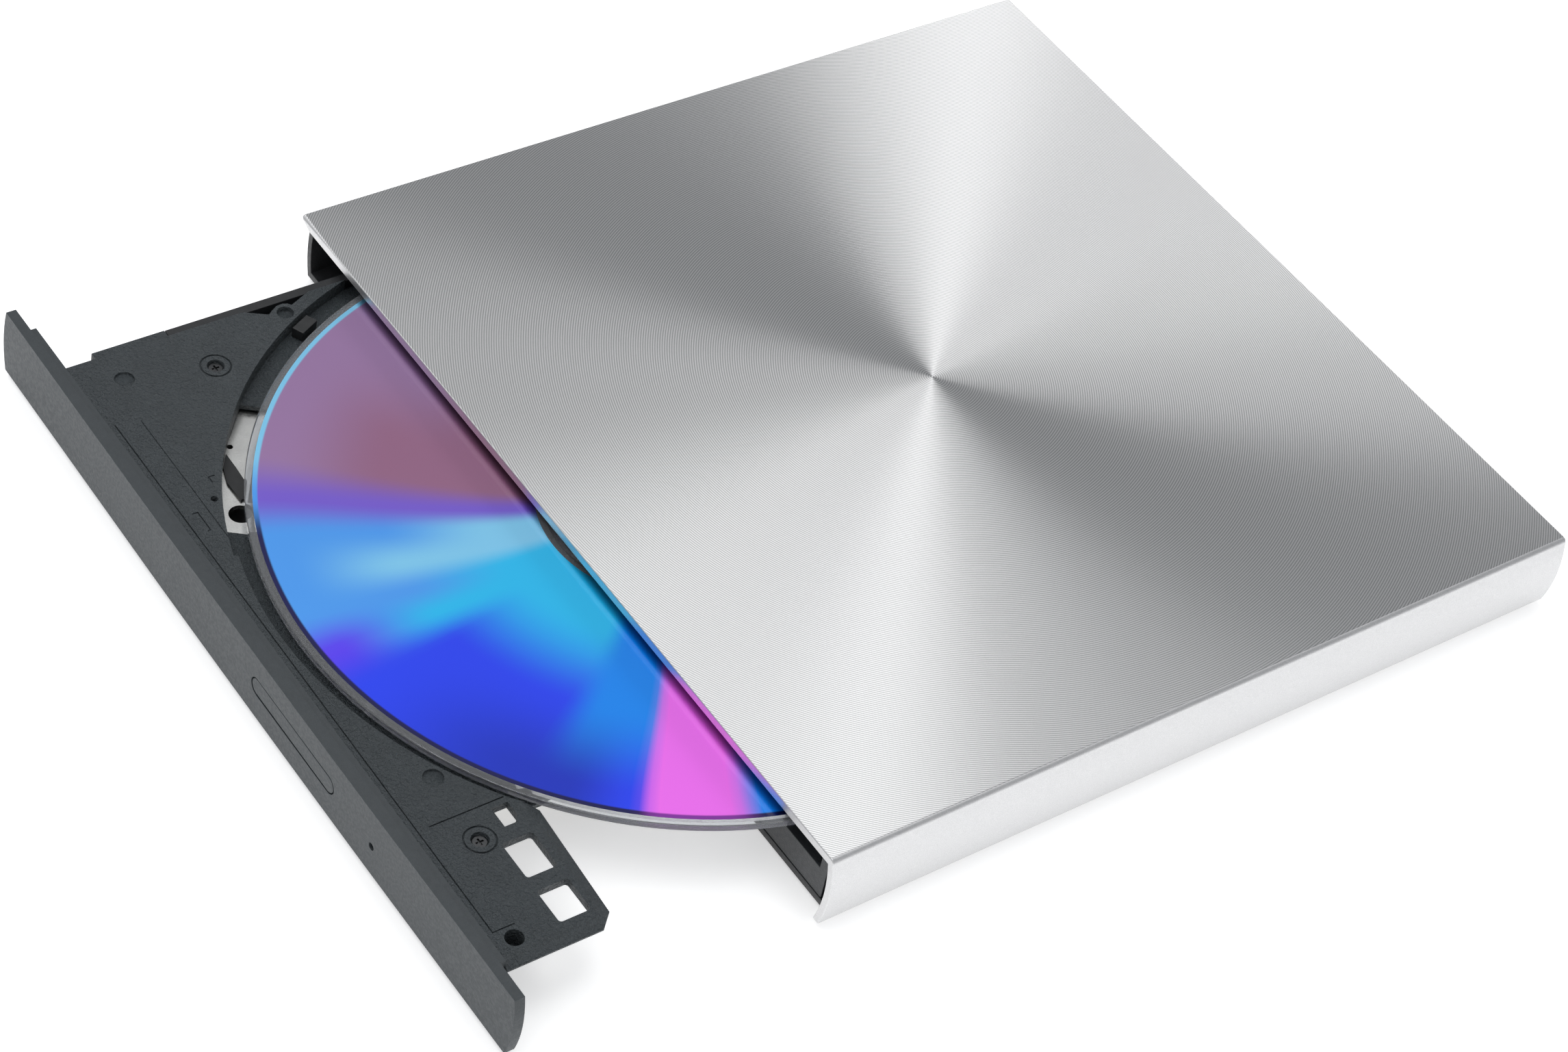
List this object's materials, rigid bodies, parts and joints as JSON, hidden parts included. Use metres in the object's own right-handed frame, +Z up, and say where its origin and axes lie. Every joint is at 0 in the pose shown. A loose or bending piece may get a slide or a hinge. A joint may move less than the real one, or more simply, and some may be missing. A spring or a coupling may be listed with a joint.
{
  "type": "external optical drive",
  "caption": "Slim external optical drive, tray partly open with a disc, turned aluminium cover, black shell, telescoping rails, spindle, pickup and eject latch inside.",
  "frame": {"origin": "middle of the footprint on the desk, with the tray out by 49.5 mm as modelled", "axes": "+X to the right seen from the tray front, +Y to the rear, +Z up"},
  "size_m": [0.1438, 0.1876, 0.014],
  "materials": {
    "turned_aluminium": "concentric turned grooves on top, fine satin on the folded wall",
    "shell_black": "fine matt moulding",
    "sill_black": "fine matt moulding",
    "rubber": "matt",
    "screw_steel": "blackened",
    "sheet_steel": "zinc plated sheet",
    "guide_black": "smooth low-friction moulding",
    "pcb": "solder mask",
    "chip": "matt epoxy",
    "plug_white": "smooth",
    "nickel": "nickel plated",
    "tongue_black": "smooth",
    "rail_black": "satin",
    "tray_grey": "spark-eroded texture",
    "bezel_grey": "fine matt moulding",
    "stop_black": "satin",
    "bright_steel": "bright plated",
    "rod_steel": "ground and polished",
    "copper": "enamelled windings",
    "flex_amber": "polyimide film",
    "bronze": "sintered",
    "magnet": "bonded magnet",
    "turntable_black": "satin",
    "pad_steel": "sprung pads",
    "disc_data": "clear polycarbonate over a metal layer with data tracks",
    "sled_zinc": "die-cast, grey",
    "laser_gold": "satin",
    "holder_dark": "matt",
    "lens_glass": "coated lens",
    "latch_white": "acetal"
  },
  "bodies": {
    "housing": {"top_cover": "turned_aluminium", "bottom_shell": "shell_black", "front_sill": "sill_black", "rubber_feet": "rubber", "case_screws": "screw_steel", "upper_case": "sheet_steel", "lower_case": "sheet_steel", "left_guide": "guide_black", "right_guide": "guide_black", "main_board": "pcb", "main_chips": "chip", "board_shield": "sheet_steel", "bridge_board": "pcb", "bridge_chips": "chip", "drive_plug": "plug_white", "usb_shell": "nickel", "usb_tongue": "tongue_black", "latch_pin": "nickel"},
    "rails": {"left_rail": "rail_black", "right_rail": "rail_black"},
    "tray": {"tray_frame": "tray_grey", "bezel": "bezel_grey", "tray_screws": "screw_steel", "disc_stop": "stop_black", "bottom_plate": "sheet_steel", "traverse_plate": "bright_steel", "pickup_flex": "tongue_black", "dampers": "rubber", "traverse_screws": "screw_steel", "guide_rods": "rod_steel", "sled_motor": "nickel", "switch_board": "pcb", "eject_switch": "plug_white", "latch_solenoid": "copper", "flex_cable": "flex_amber", "motor_base": "bright_steel", "stator": "copper", "bearing_sleeve": "bronze"},
    "button": {"eject_button": "bezel_grey"},
    "latch": {"latch_lever": "latch_white"},
    "spindle": {"rotor_can": "nickel", "magnet_ring": "magnet", "spindle_shaft": "rod_steel", "turntable": "turntable_black", "seat_ring": "rubber", "hub": "turntable_black", "hub_pads": "pad_steel", "disc": "disc_data"},
    "pickup": {"pickup_sled": "sled_zinc", "laser_unit": "laser_gold"},
    "lens_unit": {"lens_holder": "holder_dark", "lens": "lens_glass"},
    "screw": {"lead_screw": "rod_steel"}
  },
  "joints": [
    {"name": "rail_slide", "type": "slide", "parent": "housing", "child": "rails", "axis": [0, -1, 0], "range_m": [-0.0495, 0.0345]},
    {"name": "tray_slide", "type": "slide", "parent": "rails", "child": "tray", "axis": [0, -1, 0], "range_m": [0, 0.043]},
    {"name": "button_press", "type": "slide", "parent": "tray", "child": "button", "axis": [0, 1, 0], "range_m": [0, 0.0006], "stiffness_N_per_m": 600},
    {"name": "latch_swing", "type": "hinge", "parent": "tray", "child": "latch", "pos_m": [0.0322, -0.06, 0.0049], "axis": [0, 0, -1], "range_deg": [0, 12], "stiffness_Nm_per_rad": 0.02},
    {"name": "spindle_spin", "type": "hinge", "parent": "tray", "child": "spindle", "pos_m": [0.0032, -0.02655, 0.008], "axis": [0, 0, 1], "continuous": true},
    {"name": "sled_slide", "type": "slide", "parent": "tray", "child": "pickup", "axis": [-0.5736, -0.8192, 0], "range_m": [-0.014, 0.019]},
    {"name": "lead_screw_spin", "type": "hinge", "parent": "tray", "child": "screw", "pos_m": [-0.02439, -0.02847, 0.0053], "axis": [-0.5736, -0.8192, 0], "range_deg": [-1680, 2280]},
    {"name": "lens_focus", "type": "slide", "parent": "pickup", "child": "lens_unit", "axis": [0, 0, 1], "range_m": [-0.0004, 0.0004], "stiffness_N_per_m": 40}
  ],
  "couplings": [
    {"joint": "lead_screw_spin", "follows": "sled_slide", "rad_per_m": 2094.4}
  ]
}
